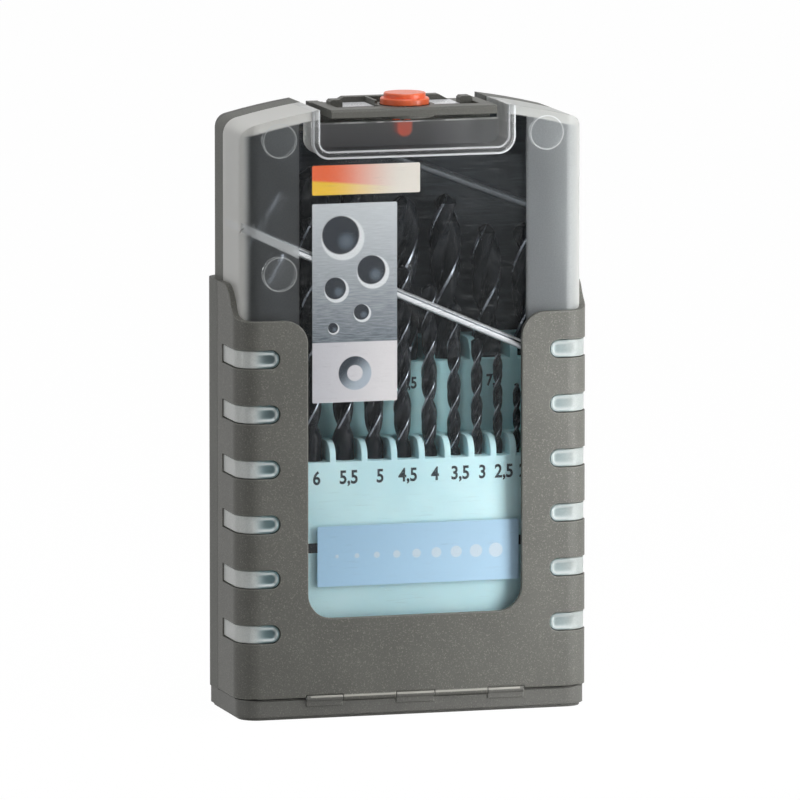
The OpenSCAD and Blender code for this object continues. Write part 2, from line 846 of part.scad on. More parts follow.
base_tray();
back_shell();
latch_bridge();
left_rail_pad();
right_rail_pad();
front_rack();
rear_rack();
rack_bar();
hinge_pin();
base_screws();
front_cover();
front_sleeve();
insert_film();
front_rod();
rear_rod();
release_button();
button_spring();
drill(1);  // drill_1_0
drill(1.5);  // drill_1_5
drill(2);  // drill_2_0
drill(2.5);  // drill_2_5
drill(3);  // drill_3_0
drill(3.5);  // drill_3_5
drill(4);  // drill_4_0
drill(4.5);  // drill_4_5
drill(5);  // drill_5_0
drill(5.5);  // drill_5_5
drill(6);  // drill_6_0
drill(6.5);  // drill_6_5
drill(7);  // drill_7_0
drill(7.5);  // drill_7_5
drill(8);  // drill_8_0
drill(8.5);  // drill_8_5
drill(9);  // drill_9_0
drill(9.5);  // drill_9_5
drill(10);  // drill_10_0
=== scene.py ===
import math

import bpy
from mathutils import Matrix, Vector


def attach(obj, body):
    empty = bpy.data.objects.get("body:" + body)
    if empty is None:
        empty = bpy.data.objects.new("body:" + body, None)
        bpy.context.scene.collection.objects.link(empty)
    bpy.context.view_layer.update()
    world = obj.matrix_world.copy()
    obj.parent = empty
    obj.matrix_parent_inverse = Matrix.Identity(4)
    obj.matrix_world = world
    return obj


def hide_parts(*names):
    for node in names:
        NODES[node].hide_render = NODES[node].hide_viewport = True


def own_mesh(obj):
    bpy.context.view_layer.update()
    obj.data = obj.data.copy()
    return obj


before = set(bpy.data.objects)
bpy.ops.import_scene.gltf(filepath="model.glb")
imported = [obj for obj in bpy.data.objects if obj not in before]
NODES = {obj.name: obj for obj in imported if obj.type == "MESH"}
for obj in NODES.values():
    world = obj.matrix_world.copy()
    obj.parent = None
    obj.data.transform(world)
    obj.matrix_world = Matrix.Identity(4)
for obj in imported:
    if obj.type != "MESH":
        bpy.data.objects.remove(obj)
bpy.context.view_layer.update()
MM = 0.001


# ---------------------------------------------------------------- colours and material nodes

def srgb(r, g, b):
    """0-255 display values to a linear colour."""
    def lin(v):
        v /= 255
        return v / 12.92 if v <= 0.04045 else ((v + 0.055) / 1.055) ** 2.4
    return (lin(r), lin(g), lin(b), 1.0)


def shade(colour, k):
    """The same colour, k times as light."""
    return tuple(min(1, c * k) for c in colour[:3]) + (1,)


def ease(t):
    """Nought to one with soft ends."""
    t = min(1.0, max(0.0, t))
    return t * t * (3 - 2 * t)


class Material:
    """A Principled material with short calls for the nodes that feed it.

    The sockets carry metres. Every length that a call takes as a plain number is in millimetres,
    but for those of ramp, which has the unit of what it is given.
    """

    def __init__(self, name, **constants):
        self.m = bpy.data.materials.new(name)
        self.m.use_nodes = True
        self.t = self.m.node_tree
        self.p = self.t.nodes["Principled BSDF"]
        for key, value in constants.items():
            self.p.inputs[key.replace("_", " ")].default_value = value
        self._place = self._xyz = None

    def node(self, kind, inputs=None, **props):
        n = self.t.nodes.new(kind)
        for key, value in props.items():
            setattr(n, key, value)
        for key, value in (inputs or {}).items():
            self.feed(n.inputs[key], value)
        return n

    def feed(self, socket, value):
        if isinstance(value, bpy.types.NodeSocket):
            self.t.links.new(value, socket)
        else:
            socket.default_value = value

    def set(self, name, value):
        self.feed(self.p.inputs[name], value)

    # places, all from the part's own coordinates in metres

    def place(self):
        if self._place is None:
            self._place = self.node("ShaderNodeTexCoord").outputs["Object"]
        return self._place

    def xyz(self):
        if self._xyz is None:
            self._xyz = self.node("ShaderNodeSeparateXYZ", {"Vector": self.place()}).outputs
        return self._xyz

    def wide(self):
        """How far a place is from the middle plane, to either side."""
        return self.math("ABSOLUTE", self.xyz()[0])

    def stretched(self, sx, sy, sz, tilt=0.0):
        """The place scaled along the axes and turned about Y, which draws a noise out."""
        return self.node("ShaderNodeMapping", {
            "Vector": self.place(), "Rotation": (0, tilt, 0), "Scale": (sx, sy, sz),
        }).outputs[0]

    def from_point(self, x, z):
        """The distance from the point (x, z), seen from the front."""
        px, _, pz = self.xyz()
        flat = self.node("ShaderNodeCombineXYZ", {"X": px, "Y": 0.0, "Z": pz}).outputs[0]
        n = self.node("ShaderNodeVectorMath", {1: (x * MM, 0, z * MM)}, operation="DISTANCE")
        self.feed(n.inputs[0], flat)
        return n.outputs["Value"]

    def over_line(self, slope, z0):
        """The height over a line that goes down to the right by slope and crosses the middle at z0."""
        x, _, z = self.xyz()
        return self.math("SUBTRACT", self.math("ADD", z, self.math("MULTIPLY", x, slope)), z0 * MM)

    def noise(self, per_m, detail=2.0, rough=0.5, where=None):
        return self.node("ShaderNodeTexNoise", {
            "Vector": where or self.place(), "Scale": per_m, "Detail": detail, "Roughness": rough,
        }).outputs["Fac"]

    # numbers and masks

    def math(self, op, a, b=0.0):
        n = self.node("ShaderNodeMath", operation=op)
        self.feed(n.inputs[0], a)
        self.feed(n.inputs[1], b)
        return n.outputs[0]

    def most(self, *values):
        out = values[0]
        for v in values[1:]:
            out = self.math("MAXIMUM", out, v)
        return out

    def all(self, *values):
        out = values[0]
        for v in values[1:]:
            out = self.math("MULTIPLY", out, v)
        return out

    def hypot(self, a, b):
        return self.math("SQRT", self.math("ADD", self.all(a, a), self.all(b, b)))

    def ramp(self, value, a, b, lo=0.0, hi=1.0, smooth=True):
        """Goes from lo to hi as value goes from a to b."""
        n = self.node("ShaderNodeMapRange", {
            "Value": value, "From Min": a, "From Max": b, "To Min": lo, "To Max": hi,
        })
        n.interpolation_type = "SMOOTHSTEP" if smooth else "LINEAR"
        return n.outputs[0]

    def spread(self, noise, lo=0.0, hi=1.0):
        """The usual range of a noise, spread from lo to hi."""
        return self.ramp(noise, 0.3, 0.7, lo, hi)

    def rises(self, value, a, b, top=1.0):
        """Nought below a mm, top above b mm."""
        return self.ramp(value, a * MM, b * MM, 0, top)

    def falls(self, value, a, b, top=1.0):
        """Top below a mm, nought above b mm."""
        return self.ramp(value, a * MM, b * MM, top, 0)

    def between(self, value, a, b, c, d):
        """One from b to c mm, nought below a and above d."""
        return self.all(self.rises(value, a, b), self.falls(value, c, d))

    def disc(self, x, z, inner, outer, top=1.0):
        """Falls from top to nought between two radii round the point (x, z), seen from the front."""
        return self.falls(self.from_point(x, z), inner, outer, top)

    def ring(self, x, z, a, b, c, d):
        """One between the radii b and c round the point (x, z), seen from the front."""
        return self.between(self.from_point(x, z), a, b, c, d)

    # colours and surfaces

    def blend(self, factor, a, b):
        """A number that goes from a to b as factor goes from 0 to 1."""
        n = self.node("ShaderNodeMix", data_type="FLOAT")
        self.feed(n.inputs[0], factor)
        self.feed(n.inputs[2], a)
        self.feed(n.inputs[3], b)
        return n.outputs[0]

    def mix(self, factor, a, b):
        """A colour that goes from a to b as factor goes from 0 to 1."""
        n = self.node("ShaderNodeMix", data_type="RGBA")
        self.feed(n.inputs[0], factor)
        self.feed(n.inputs[6], a)
        self.feed(n.inputs[7], b)
        return n.outputs[2]

    def by_side(self, left, right):
        """Two numbers or two colours, one for each side of the part, with a soft change in the middle."""
        x = self.xyz()[0]
        if isinstance(left, tuple):
            return self.mix(self.rises(x, -10, 10), left, right)
        return self.ramp(x, -10 * MM, 10 * MM, left, right)

    def rounded(self, radius):
        return self.node("ShaderNodeBevel", {"Radius": radius * MM}, samples=4).outputs[0]

    def edges(self, radius):
        """One on sharp edges, nought on faces and soft curves."""
        n = self.node("ShaderNodeVectorMath", operation="DOT_PRODUCT")
        self.feed(n.inputs[0], self.rounded(radius))
        self.feed(n.inputs[1], self.node("ShaderNodeNewGeometry").outputs["Normal"])
        return self.ramp(n.outputs["Value"], 0.84, 0.985, 1, 0)

    def bump(self, height, strength, depth, edge=0.0):
        """Bumps of depth at full strength, on edges that look rounded by edge."""
        extra = {"Normal": self.rounded(edge)} if edge else {}
        self.set("Normal", self.node("ShaderNodeBump", {
            "Height": height, "Strength": strength, "Distance": depth * MM, **extra,
        }).outputs[0])


# ---------------------------------------------------------------- opaque plastics

def barrel_glint(m):
    """A painted highlight: the thin bright line along the front of the hinge's barrel."""
    _, y, z = m.xyz()
    return m.all(m.falls(y, -16.1, -15.8), m.falls(m.wide(), 27.3, 27.6), m.between(z, 5.35, 5.5, 5.8, 5.95))


def moulded(name, colour, rough=0.5, grain=5200, bump=0.2, sheen=0.3, edge=0.0, edge_glint=0.0,
            fleck=0.0, fleck_colour=None, hinge=False, **more):
    """Moulded plastic: cloudy colour, fine grain, and a painted highlight on sharp edges, flecks and a
    hinge's painted glint if asked for.
    """
    m = Material(name, Specular_IOR_Level=sheen, **more)
    base = m.mix(m.spread(m.noise(55, 3)), shade(colour, 0.93), shade(colour, 1.07))
    # painted highlight: sharp edges are painted lighter, as if they caught the light
    if edge_glint:
        base = m.mix(m.all(m.edges(edge), edge_glint), base, shade(colour, 2.6))
    if fleck:
        spots = m.noise(3400, 1, 0.5)
        pits = m.noise(2900, 1, 0.5, m.stretched(1.1, 1.1, 0.9))
        for specks, tint in ((spots, fleck_colour), (pits, shade(colour, 0.5))):
            base = m.mix(m.ramp(specks, 0.56, 0.74, 0, fleck), base, tint)
    if hinge:
        base = m.mix(m.all(barrel_glint(m), 0.7), base, srgb(188, 186, 178))
    fine = m.noise(grain, 3, 0.6)
    m.set("Base Color", base)
    m.set("Roughness", m.spread(fine, rough - 0.07, rough + 0.08))
    m.bump(fine, bump, 0.06, edge)
    return m


SLEEVE = moulded("speckled_armour", srgb(98, 98, 93), edge=0.5, edge_glint=0.7,
                 fleck=0.36, fleck_colour=srgb(168, 165, 157), hinge=True)
BASE = moulded("speckled_base", srgb(102, 102, 98), rough=0.52, edge=0.4, edge_glint=0.3,
               fleck=0.3, fleck_colour=srgb(165, 162, 154), hinge=True)
LATCH = moulded("dark_latch", srgb(94, 94, 89), grain=4200, bump=0.35, edge=0.3, edge_glint=0.3,
                fleck=0.3, fleck_colour=srgb(150, 148, 140))
PAD = moulded("rail_pad", srgb(238, 239, 242), rough=0.3, grain=2500, bump=0.1, sheen=0.5)
BAR = moulded("dark_bar", srgb(40, 45, 50), rough=0.45)
RED = moulded("button_red", srgb(255, 112, 62), rough=0.32, grain=3800, bump=0.12, sheen=0.5, edge=0.4,
              Subsurface_Weight=0.05, Subsurface_Radius=(0.002, 0.0006, 0.0003))
INK = moulded("number_ink", srgb(38, 48, 54), rough=0.6, grain=6000, bump=0.05)


def shell_material():
    """The rear shell's plastic. The rear wall's inside has fine level mould lines and is painted darker, as
    painted shade.
    """
    m = moulded("speckled_shell", srgb(90, 91, 86), rough=0.55, edge=0.4, edge_glint=0.25,
                fleck=0.26, fleck_colour=srgb(154, 152, 145))
    inside = m.between(m.xyz()[1], 12.6, 12.8, 13.1, 13.4)
    lines = m.noise(260, 3, 0.7, m.stretched(0.5, 1, 9))
    # painted shade: the rear wall's inside is painted darker than the shell, with the mould lines on it
    mould_lines_and_shade = m.mix(m.ramp(lines, 0.42, 0.66), srgb(44, 49, 54), srgb(60, 66, 71))
    plain = m.p.inputs["Base Color"].links[0].from_socket
    m.set("Base Color", m.mix(inside, plain, mould_lines_and_shade))
    return m


def rack_material():
    """Pale blue plastic, with painted shade: it is painted darker and more saturated the deeper a surface
    lies.
    """
    m = Material("rack_blue", Specular_IOR_Level=0.4, Subsurface_Weight=0.25,
                 Subsurface_Radius=(0.0016, 0.0024, 0.0028))
    base = m.mix(m.spread(m.noise(45, 3)), srgb(188, 226, 233), srgb(204, 238, 243))
    fine = m.noise(3600, 3, 0.6)
    # painted shade: surfaces further back blend to a darker, more saturated blue
    m.set("Base Color", m.mix(m.rises(m.xyz()[1], -10.5, -2, 0.4), base, srgb(146, 212, 216)))
    m.set("Roughness", m.spread(fine, 0.42, 0.55))
    m.bump(fine, 0.12, 0.05, 0.4)
    return m


SHELL = shell_material()
RACK = rack_material()


# ---------------------------------------------------------------- the translucent cover

# The cover's forms, in millimetres, as the solids have them
FROST_X = 29.7
RECESS_X, RECESS_Z, RECESS_R = 24.5, 143.4, 2.5
RECESS_TOP = 149.4
LIP_W, LIP_BACK = 2.0, -14.2
ARCH_Z, ARCH_R = -11.3, 167.0
DISCS = [(-34.8, 146.4), (34.8, 146.4), (-34.8, 112.8)]
DISC_R = 4.3
COVER_W, COVER_FRONT, COVER_R = 44.5, -14.6, 4.5
# What shows through it
TONGUE_R, TONGUE_Z = 2.0, 147.5
ROD_END_Z = 124.5
SEEN_ROD_SLOPE, SEEN_ROD_Z = 0.489, 103.1
# The grain of its milky places, per metre
MILKY_GRAIN = 2600


def edge_mask(m):
    """The milky edge walls: both sides and the arched top."""
    side = m.ramp(m.wide(), m.by_side(42 * MM, 39 * MM), 44.1 * MM)
    top = m.rises(m.from_point(0, ARCH_Z), ARCH_R - 2.7, ARCH_R - 2.1)
    return m.most(side, top)


def recess_masks(m):
    """The finger recess: wall, the tongue's red in the wall, cheeks and rim painted as highlights, lip
    painted light, and the lip's borders painted as highlight lines.
    """
    _, y, z = m.xyz()
    wide = m.wide()
    recess = m.all(m.falls(wide, RECESS_X + 2.2, RECESS_X + 2.5), m.rises(z, RECESS_Z - 2.4, RECESS_Z - 2.1))
    # how far out a place is from the centre of the outline's corners
    past_x = m.most(m.math("SUBTRACT", wide, (RECESS_X - RECESS_R) * MM), 0.0)
    past_z = m.most(m.math("SUBTRACT", (RECESS_Z + RECESS_R) * MM, z), 0.0)
    out = m.hypot(past_x, past_z)
    border = RECESS_R + LIP_W
    wall = m.all(recess, m.rises(y, LIP_BACK, LIP_BACK + 0.4), m.falls(out, border - 0.2, border))
    # the wall takes up the tongue's red where the tongue stands close behind
    inner, outer = TONGUE_R - 0.5, TONGUE_R + 0.3
    tongue = m.most(m.disc(0, TONGUE_Z, inner, outer),
                    m.all(m.falls(wide, inner, outer), m.rises(z, TONGUE_Z, TONGUE_Z + 0.05)))
    # painted highlights: the recess's cheeks and the wall's top rim
    cheek = m.all(wall, m.rises(wide, RECESS_X - 0.3, RECESS_X + 0.1))
    rim = m.all(wall, m.rises(z, RECESS_TOP - 0.3, RECESS_TOP), m.ramp(m.noise(210, 2), 0.42, 0.58, 0.35, 1))
    lip = m.all(recess, m.falls(y, LIP_BACK, LIP_BACK + 0.4), m.falls(out, border, border + 0.1))
    # painted highlights: bright lines along the lip's inner and outer borders
    borders = m.all(lip, m.most(m.falls(out, RECESS_R + 0.3, RECESS_R + 0.6),
                                m.rises(out, RECESS_R + 1.35, RECESS_R + 1.6)))
    return wall, m.all(tongue, wall), cheek, rim, lip, borders


def rod_masks(m):
    """A painted reflection of the front rod on the left wall by the rod's end, and the rod behind the left
    frosted face.
    """
    x, y, z = m.xyz()
    # painted reflection: a light streak on the left wall where the front rod is mirrored
    rod_reflection = m.all(m.falls(x, -43, -42.4), m.between(y, -11.8, -9, 1.5, 3.5),
                m.between(z, ROD_END_Z - 1.3, ROD_END_Z - 0.6, ROD_END_Z + 0.6, ROD_END_Z + 1.3))
    off_rod = m.math("ABSOLUTE", m.over_line(SEEN_ROD_SLOPE, SEEN_ROD_Z))
    rod = m.all(m.falls(off_rod, 0.9, 1.35), m.falls(x, -FROST_X - 0.5, -FROST_X), m.falls(y, -12.2, -11.2),
                m.spread(m.noise(900, 2), 0.8, 1))
    return rod_reflection, rod


def cover_material():
    """Frosted at the sides, clear in the middle, glassy at the finger recess, milky in the edge walls."""
    m = Material("frosted_cover", IOR=1.45, Specular_IOR_Level=0.3)
    x = m.xyz()[0]
    frost = m.rises(m.wide(), FROST_X - 0.3, FROST_X + 0.3)
    edge = edge_mask(m)
    wall, red, cheek, rim, lip, borders = recess_masks(m)
    rod_reflection, rod = rod_masks(m)
    disc = m.most(*[m.disc(px, pz, DISC_R - 0.1, DISC_R + 0.1) for px, pz in DISCS])
    ring = m.most(*[m.ring(px, pz, DISC_R - 0.3, DISC_R - 0.1, DISC_R, DISC_R + 0.2) for px, pz in DISCS])
    faint_ring = m.all(ring, 0.6)
    grain = m.noise(MILKY_GRAIN, 3, 0.6)

    tone = m.mix(m.spread(grain), srgb(204, 210, 213), srgb(222, 228, 231))
    tone = m.mix(frost, srgb(246, 249, 250), tone)
    for mask, colour in (
            # painted light: the left edge wall is painted lighter than the right one
            (edge, m.by_side(srgb(238, 238, 234), srgb(214, 216, 213))),
            # painted light: the recess wall is painted lighter towards its right side
            (wall, m.mix(m.rises(x, 4, 23.5), srgb(128, 128, 130), srgb(196, 197, 198))),
            (m.all(red, 0.85), srgb(255, 146, 124)),
            # painted highlights on the cheeks and the rim, and the painted reflection of the front rod
            (m.most(cheek, rim, rod_reflection), srgb(232, 233, 232)),
            (rod, srgb(186, 189, 190)),
            (ring, srgb(246, 249, 249)),
            # painted light: the lip is painted a milky white so that it shows bright
            (lip, srgb(240, 243, 245))):
        tone = m.mix(mask, tone, colour)
    m.set("Base Color", tone)

    through = m.blend(frost, 0.98, 0.86)
    for mask, share in ((m.all(disc, 0.3), 0.6), (edge, 0.3), (wall, 0.55),
                        (m.most(borders, rim, rod_reflection, rod), 0.15), (faint_ring, 0.35)):
        through = m.blend(mask, through, share)
    m.set("Transmission Weight", through)

    # painted light: the frosted right side, and its faint rings, are made milkier than the left, so that the
    # right shows lighter
    solid = m.blend(frost, 0.035, m.ramp(x, -30 * MM, 30 * MM, 0.34, 0.72))
    for mask, share in ((edge, 0.9), (wall, 0.62), (red, 0.7), (cheek, 0.8), (lip, 0.55), (rod, 0.85),
                        (m.most(borders, rim, rod_reflection), 0.92), (faint_ring, m.by_side(0.75, 0.95))):
        solid = m.blend(mask, solid, share)
    m.set("Alpha", solid)

    hazy = m.blend(red, m.blend(frost, 0.03, 0.3), 0.45)
    m.set("Roughness", m.blend(m.most(wall, edge), hazy, 0.34))
    m.bump(grain, m.blend(frost, 0.0, 0.012), 0.05, 0.3)
    return m


def film_material():
    """Clear film with a few faint level scratches."""
    m = Material("clear_film", IOR=1.4, Specular_IOR_Level=0.1)
    scratch = m.noise(320, 3, 0.65, m.stretched(0.5, 1, 7))
    m.set("Base Color", m.mix(m.ramp(scratch, 0.4, 0.7), srgb(214, 222, 226), srgb(240, 244, 246)))
    m.set("Alpha", m.ramp(scratch, 0.55, 0.8, 0.008, 0.06))
    m.set("Roughness", m.spread(scratch, 0.08, 0.16))
    return m


COVER = cover_material()
FILM = film_material()


# ---------------------------------------------------------------- metals

def metal_material(name, colour, rough, lengthways=(1, 1, 1), metal=1.0, sheen=0.5):
    """Ground metal with fine lines. Black oxide is no bare metal, so it takes metal 0 and little sheen."""
    m = Material(name, Metallic=metal, Specular_IOR_Level=sheen)
    fine = m.noise(900, 3, 0.6, m.stretched(*lengthways))
    m.set("Base Color", m.mix(m.spread(fine), shade(colour, 0.88), colour))
    m.set("Roughness", m.spread(fine, rough - 0.06, rough + 0.1))
    m.bump(fine, 0.08, 0.03)
    return m


def rod_material(name, z0, slope, light, dark, rough):
    """Drawn rod: fine lengthways lines, and a painted reflection: a dark line a little over its middle, with
    its top and bottom painted dimmer.
    """
    m = Material(name, Metallic=0.6)
    tilt = math.atan(slope)
    over = m.all(m.over_line(slope, z0), math.cos(tilt))
    # painted reflection: dark line over the middle, dimmer bands at the top and bottom
    line = m.between(over, 0.08, 0.28, 0.5, 0.7)
    upper, lower = m.rises(over, 0.4, 0.6, 0.3), m.falls(over, -1.1, -0.8, 0.3)
    base = m.mix(m.most(line, upper, lower), light, dark)
    drawn = m.noise(420, 2, 0.5, m.stretched(0.1, 3, 3, tilt))
    m.set("Base Color", m.mix(m.spread(drawn, 0, 0.12), base, dark))
    m.set("Roughness", m.spread(drawn, rough - 0.04, rough + 0.06))
    return m


STEEL = metal_material("bright_steel", srgb(226, 228, 232), 0.22)
ROD = rod_material("bright_rod", 105.2, 0.44, srgb(224, 227, 230), srgb(66, 72, 78), 0.3)
# painted shade: the rear rod gets dark colours, as it lies in the case's shade
ROD_DIM = rod_material("rod_in_shade", 139.7, 0.385, srgb(84, 88, 92), srgb(40, 44, 48), 0.4)
OXIDE = metal_material("black_oxide", srgb(27, 30, 34), 0.27, (1, 1, 0.3), metal=0.0, sheen=0.1)
MARGIN = metal_material("ground_margin", srgb(128, 134, 142), 0.28, (1, 1, 0.3))

FINISH = {
    "base_tray": BASE, "back_shell": SHELL, "latch_bridge": LATCH, "left_rail_pad": PAD,
    "right_rail_pad": PAD, "front_rack": RACK, "rear_rack": RACK, "rack_bar": BAR,
    "hinge_pin": STEEL, "base_screws": STEEL, "front_cover": COVER, "front_sleeve": SLEEVE,
    "insert_film": FILM, "front_rod": ROD, "rear_rod": ROD_DIM, "release_button": RED,
    "button_spring": STEEL,
}
for name, material in FINISH.items():
    mesh = NODES[name].data
    mesh.materials.clear()
    mesh.materials.append(material.m)


# ---------------------------------------------------------------- mesh helpers

def placed(name, data):
    """An object in the scene, for a mesh, a curve, a lamp or a camera."""
    ob = bpy.data.objects.new(name, data)
    bpy.context.scene.collection.objects.link(ob)
    return ob


def mesh_object(name, verts, faces, materials, body, picks=None, smooth=True):
    """A mesh from millimetres, which rides on a body."""
    me = bpy.data.meshes.new(name)
    me.from_pydata([tuple(c * MM for c in v) for v in verts], [], faces)
    for m in materials:
        me.materials.append(m.m)
    if picks:
        me.polygons.foreach_set("material_index", picks)
    me.polygons.foreach_set("use_smooth", [smooth] * len(me.polygons))
    me.update()
    ob = placed(name, me)
    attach(ob, body)
    return ob


# ---------------------------------------------------------------- twist drills

FRONT = [6.5, 6, 5.5, 5, 4.5, 4, 3.5, 3, 2.5, 2, 1.5, 1]
REAR = [10, 9.5, 9, 8.5, 8, 7.5, 7]
# Jobber series: diameter to overall length and flute length
SERIES = {1: (34, 12), 1.5: (40, 18), 2: (49, 24), 2.5: (57, 30), 3: (61, 33), 3.5: (70, 39),
          4: (75, 43), 4.5: (80, 47), 5: (86, 52), 5.5: (93, 57), 6: (93, 57), 6.5: (101, 63),
          7: (109, 69), 7.5: (109, 69), 8: (117, 75), 8.5: (117, 75), 9: (125, 81),
          9.5: (125, 81), 10: (133, 87)}
HELIX, HALF_POINT = math.radians(30), math.radians(59)
STEPS_PER_TURN = 26
LAND = 0.95
FLUTE_FROM, FLUTE_TO = 64, 178
# The chamfer at a shank's foot: its width and its height
CHAMFER = (0.3, 0.35)
# Share of the point's height that its very tip is blunted by
BLUNT = 0.04


def lead(d):
    """The length of one turn of a drill's flutes."""
    return math.pi * d / math.tan(HELIX)


def half_section():
    """Half a twist drill's cross-section: (angle, share of the radius, on the margin)."""
    pts = [(0, 1.0, True), (4, 1.0, True), (9, 1.0, True)]
    pts += [(a, LAND, False) for a in (12, 24, 36, 48, 58)]
    pts += [(FLUTE_FROM, 0.92, False)]
    for k in range(1, 10):
        t = k / 10
        dip = math.sin(math.pi * t ** 0.85)
        pts.append((FLUTE_FROM + t * (FLUTE_TO - FLUTE_FROM), 0.93 - 0.6 * dip ** 0.9 + 0.05 * t, False))
    return pts


SECTION = [(angle + half, share, margin) for half in (0, 180) for angle, share, margin in half_section()]


def drill_levels(d, total, shank, tip):
    """The heights of a drill's rings over its foot: chamfer, shank, flutes and point."""
    plain = max(4, int((shank - d) / 12))
    fluted = int((total - shank - tip) / (lead(d) / STEPS_PER_TURN)) + 1
    levels = [0, CHAMFER[1] * min(1, d / 3)]
    levels += [shank * k / plain for k in range(1, plain + 1)]
    levels += [shank + (total - shank - tip) * k / fluted for k in range(1, fluted + 1)]
    return levels + [total - tip + tip * k for k in (0.18, 0.36, 0.54, 0.72, 0.9)]


def fine_drill(d, x, y, floor):
    """A twist drill that stands on floor at (x, y) and replaces its node."""
    total, flute = SERIES[d]
    shank = total - flute
    tip = d / 2 / math.tan(HALF_POINT)
    levels = drill_levels(d, total, shank, tip)
    verts, faces, picks = [], [], []
    for z in levels:
        turn = 360 * max(0.0, z - shank) / lead(d)
        depth = ease((z - shank) / (1.1 * d))
        for angle, share, _ in SECTION:
            rad = d / 2 * (1 + (share - 1) * depth)
            if z > total - tip:
                rad = min(rad, (total - z) * math.tan(HALF_POINT))
            if z == 0:
                rad = d / 2 - CHAMFER[0] * min(1, d / 3)
            t = math.radians(angle + turn)
            verts.append((x + rad * math.cos(t), y + rad * math.sin(t), floor + z))
    n = len(SECTION)
    for i in range(len(levels) - 1):
        for j in range(n):
            k = (j + 1) % n
            faces.append((i * n + j, i * n + k, (i + 1) * n + k, (i + 1) * n + j))
            picks.append(1 if SECTION[j][2] and levels[i] >= shank + 0.5 * d else 0)
    faces.append(tuple(reversed(range(n))))
    picks.append(0)
    last = (len(levels) - 1) * n
    verts.append((x, y, floor + total - tip * BLUNT))
    for j in range(n):
        faces.append((last + j, last + (j + 1) % n, len(verts) - 1))
        picks.append(1)
    node = "drill_%d_%d" % (int(d), int(d * 10) % 10)
    ob = mesh_object("fine_" + node, verts, faces, [OXIDE, MARGIN], "case", picks)
    ob.data.set_sharp_from_angle(angle=math.radians(38))
    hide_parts(node)


def row(sizes, gap, anchor, anchor_x, y, floor):
    """Drills side by side with equal gaps, set out from the place of one of them."""
    xs, x = {}, 0.0
    for k, d in enumerate(sizes):
        if k:
            x += sizes[k - 1] / 2 + gap + d / 2
        xs[d] = x
    for d in sizes:
        fine_drill(d, xs[d] + (anchor_x - xs[anchor]), y, floor)


row(FRONT, gap=2.76, anchor=4.5, anchor_x=-0.7, y=-6.4, floor=33)
row(REAR, gap=3.1, anchor=8.5, anchor_x=2.6, y=5.5, floor=12.5)


# ---------------------------------------------------------------- return spring

SPRING_Z, SPRING_Y = (151.9, 154.7), -6.0
SPRING_R, SPRING_WIRE, SPRING_TURNS = 1.2, 0.27, 3.5


def coil_spring():
    """The button's spring as a real coil."""
    low, high = SPRING_Z[0] + SPRING_WIRE, SPRING_Z[1] - SPRING_WIRE
    steps, sides = 112, 10
    verts, faces = [], []
    for i in range(steps + 1):
        a = 2 * math.pi * SPRING_TURNS * i / steps
        z = low + (high - low) * i / steps
        for j in range(sides):
            b = 2 * math.pi * j / sides
            r = SPRING_R + SPRING_WIRE * math.cos(b)
            verts.append((r * math.cos(a), SPRING_Y + r * math.sin(a), z + SPRING_WIRE * math.sin(b)))
    for i in range(steps):
        for j in range(sides):
            k = (j + 1) % sides
            faces.append((i * sides + j, (i + 1) * sides + j, (i + 1) * sides + k, i * sides + k))
    faces.append(tuple(range(sides)))
    faces.append(tuple(reversed(range(steps * sides, (steps + 1) * sides))))
    ob = mesh_object("fine_spring", verts, faces, [STEEL], "case")
    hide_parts("button_spring")
    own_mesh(ob)


coil_spring()


# ---------------------------------------------------------------- size numbers

# Share of the font's size that a digit is tall, and how far its strokes are thickened
DIGIT_SHARE, STROKE = 0.72, 0.12


def numbers(name, entries, y, z, height, squeeze):
    """Plain drill sizes printed on a rack in one line: entries are (text, x), z is the line's middle."""
    verts, faces = [], []
    for text, x in entries:
        cu = bpy.data.curves.new(name + "_tmp", "FONT")
        cu.body = text
        cu.size = height / DIGIT_SHARE
        cu.align_x = "CENTER"
        cu.align_y = "BOTTOM_BASELINE"
        cu.offset = STROKE
        cu.resolution_u = 4
        ob = placed(name + "_tmp", cu)
        bpy.context.view_layer.update()
        me = bpy.data.meshes.new_from_object(ob.evaluated_get(bpy.context.evaluated_depsgraph_get()))
        off = len(verts)
        for v in me.vertices:
            verts.append((x + v.co.x * squeeze, y, z - height / 2 + v.co.y))
        for p in me.polygons:
            faces.append(tuple(off + i for i in p.vertices))
        bpy.data.objects.remove(ob)
        bpy.data.curves.remove(cu)
        bpy.data.meshes.remove(me)
    mesh_object(name, verts, faces, [INK], "case", smooth=False)


numbers("front_sizes", [
    ("6,5", -33.6), ("6", -24.6), ("5,5", -16.2), ("5", -8.0), ("4,5", -0.7), ("4", 6.4),
    ("3,5", 13.0), ("3", 18.8), ("2,5", 24.5), ("2", 29.5), ("1,5", 34.0), ("1", 38.2),
], y=-11.62, z=60.6, height=3.4, squeeze=0.86)
numbers("rear_sizes", [
    ("10", -34.5), ("9,5", -21.6), ("9", -9.3), ("8,5", 2.6), ("8", 13.9), ("7,5", 24.9), ("7", 35.3),
], y=-1.22, z=82.4, height=2.9, squeeze=0.84)


# ---------------------------------------------------------------- printed film

PRINT_Y, PRINT_T, PRINT_CORNER = -12.77, 0.03, 0.35
# Each print's left, right, foot and top
STRIP = (-26, 2.1, 132.2, 139.7)
PICTURE = (-26, -3.9, 79.7, 130.0)
BAND = (-24.7, 28.0, 33.0, 48.3)


